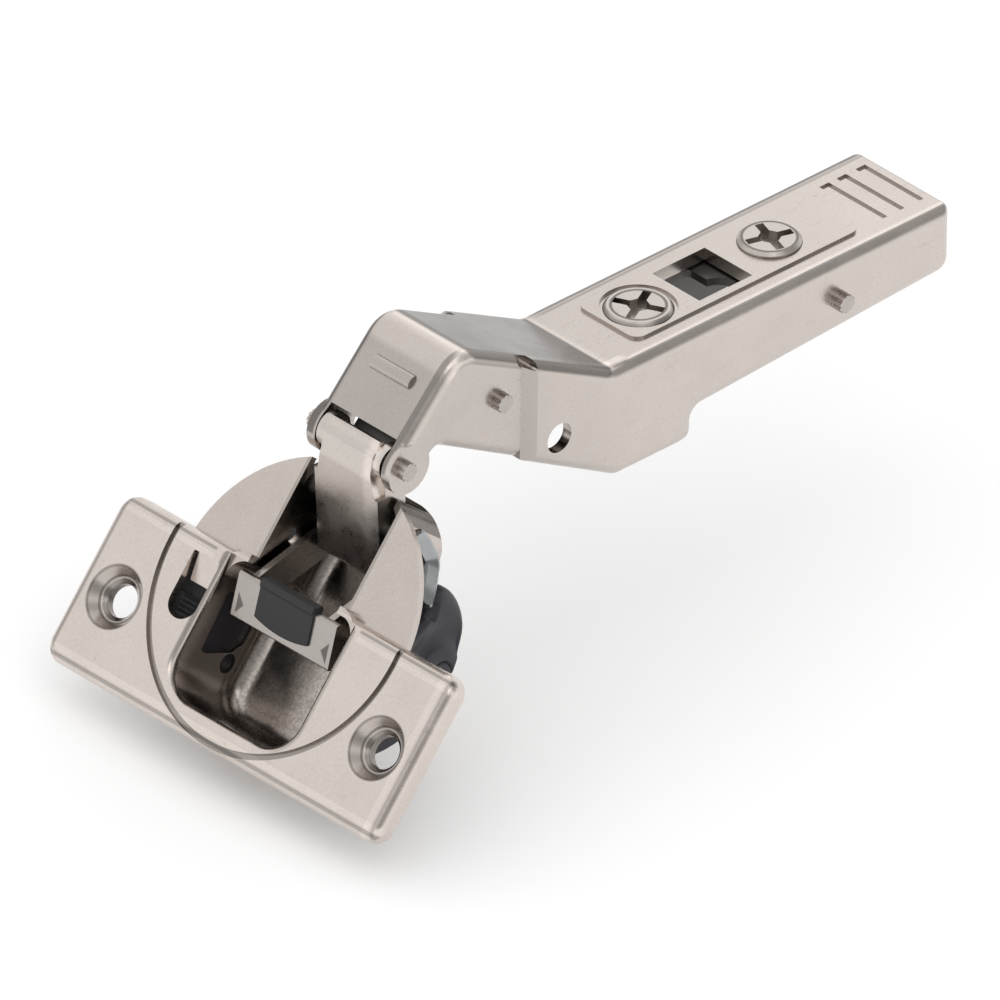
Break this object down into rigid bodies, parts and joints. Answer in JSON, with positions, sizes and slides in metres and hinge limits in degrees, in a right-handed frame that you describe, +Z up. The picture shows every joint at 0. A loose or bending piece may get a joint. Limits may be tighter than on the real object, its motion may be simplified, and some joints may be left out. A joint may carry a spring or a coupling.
{
  "type": "cabinet hinge",
  "caption": "Soft-close cabinet hinge for an angled front: pressed cup with screw flange, folded elbow arm with adjusting screws, two links and a damper.",
  "frame": {"origin": "midway between the two flange screw holes, on the top face of the flange", "axes": "+X along the arm to its rear, +Y across the arm, +Z up, square to the top of the arm's rear channel"},
  "size_m": [0.1128, 0.057, 0.0493],
  "materials": {
    "cup_steel": "satin nickel plating",
    "arm_steel": "satin nickel plating",
    "dark_plastic": "fine matt texture",
    "pin_steel": "bright, pressed ends",
    "screw_steel": "satin nickel plating",
    "spring_steel": "plain spring wire",
    "zinc": "bluish zinc, as cast"
  },
  "bodies": {
    "arm": {"hinge_arm": "arm_steel", "arm_front_pin": "pin_steel", "arm_link_pin": "pin_steel", "rear_pin": "pin_steel"},
    "outer_link": {"outer_link": "arm_steel"},
    "cup": {"cup_boss": "cup_steel", "damper_housing_near": "dark_plastic", "damper_housing_far": "dark_plastic", "damper_cylinder": "dark_plastic", "cup_axle": "zinc", "closing_spring": "spring_steel"},
    "inner_link": {"inner_link": "zinc"},
    "paddle": {"paddle_bracket": "cup_steel", "paddle_insert": "dark_plastic"},
    "damper_rod": {"damper_rod": "pin_steel"},
    "switch": {"damper_switch": "dark_plastic"},
    "carrier": {"inner_carrier": "arm_steel", "carrier_front_pin": "pin_steel"},
    "side_screw": {"side_adjust_screw": "screw_steel"},
    "cam_screw": {"depth_cam_screw": "screw_steel"},
    "lever": {"release_lever": "arm_steel", "lever_spring": "spring_steel"}
  },
  "joints": [
    {"name": "cup_turn", "type": "hinge", "parent": "outer_link", "child": "cup", "pos_m": [0.0203, 0, 0.0081], "axis": [0, 1, 0], "range_deg": [0, 92]},
    {"name": "outer_link_turn", "type": "hinge", "parent": "arm", "child": "outer_link", "pos_m": [0.01847, 0, 0.02403], "axis": [0, 1, 0], "range_deg": [0, 4]},
    {"name": "inner_link_turn", "type": "hinge", "parent": "cup", "child": "inner_link", "pos_m": [0.01967, 0, 0.01373], "axis": [0, 1, 0], "range_deg": [-116.78, 0]},
    {"name": "paddle_turn", "type": "hinge", "parent": "cup", "child": "paddle", "pos_m": [0.0203, 0, 0.0081], "axis": [0, 1, 0], "range_deg": [-25.5, 0]},
    {"name": "damper_stroke", "type": "slide", "parent": "cup", "child": "damper_rod", "axis": [-0.6242, 0, -0.7813], "range_m": [0, 0.0024]},
    {"name": "switch_slide", "type": "slide", "parent": "cup", "child": "switch", "axis": [0.6242, 0, 0.7813], "range_m": [0, 0.0014]},
    {"name": "cam_turn", "type": "hinge", "parent": "arm", "child": "cam_screw", "pos_m": [0.0851, 0, 0.024], "axis": [0, 0, 1], "range_deg": [-60, 60]},
    {"name": "carrier_slide", "type": "slide", "parent": "arm", "child": "carrier", "axis": [1, 0, 0], "range_m": [-0.0019, 0.0019]},
    {"name": "side_screw_turn", "type": "hinge", "parent": "arm", "child": "side_screw", "pos_m": [0.0637, 0, 0.024], "axis": [0, 0, 1], "continuous": true},
    {"name": "lever_turn", "type": "hinge", "parent": "arm", "child": "lever", "pos_m": [0.08848, 0, 0.01874], "axis": [0, -1, 0], "range_deg": [0, 14], "stiffness_Nm_per_rad": 0.02, "springref_deg": -5.73}
  ],
  "couplings": [
    {"joint": "outer_link_turn", "follows": "cup_turn", "ratio": 0.043478},
    {"joint": "inner_link_turn", "follows": "cup_turn", "ratio": -1.2693},
    {"joint": "paddle_turn", "follows": "cup_turn", "ratio": -0.27717},
    {"joint": "damper_stroke", "follows": "cup_turn", "m_per_rad": 0.0014947},
    {"joint": "cam_turn", "follows": "carrier_slide", "rad_per_m": 551}
  ]
}
